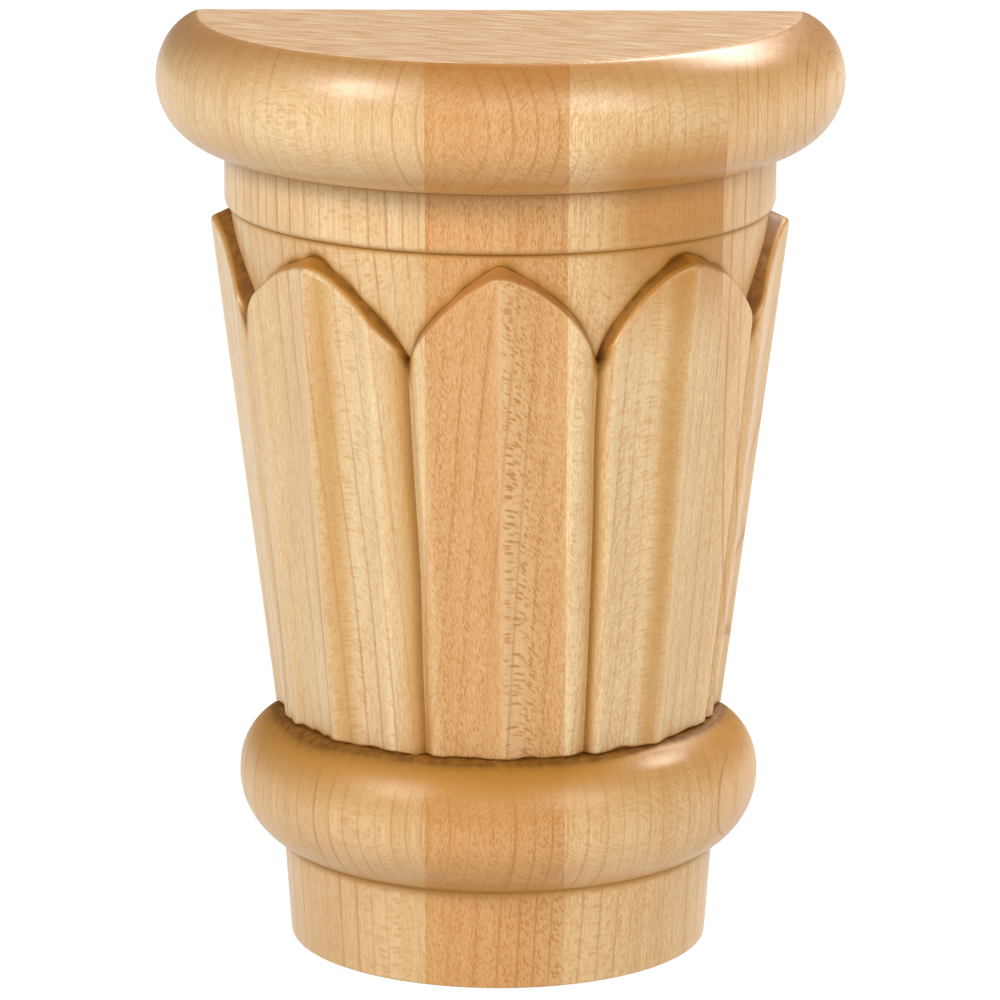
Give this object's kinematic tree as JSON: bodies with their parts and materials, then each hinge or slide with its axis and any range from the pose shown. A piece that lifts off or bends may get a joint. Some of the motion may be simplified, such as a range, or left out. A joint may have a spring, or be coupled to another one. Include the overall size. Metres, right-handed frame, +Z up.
{
  "type": "carved half-round column capital",
  "caption": "Half-round maple capital with a flat back: a bell of carved pointed leaves between two turned rings, on a plain drum.",
  "frame": {"origin": "on the underside, in the middle of the outer box: 44.5 mm in front of the flat back", "axes": "+Z up along the capital, +Y out of the flat back, +X to the right seen from the carved front"},
  "size_m": [0.178, 0.089, 0.2466],
  "materials": {
    "maple": "edge-glued hard maple under a clear satin finish, with brown left in the carved crevices"
  },
  "bodies": {
    "root": {"capital": "maple"}
  },
  "joints": []
}
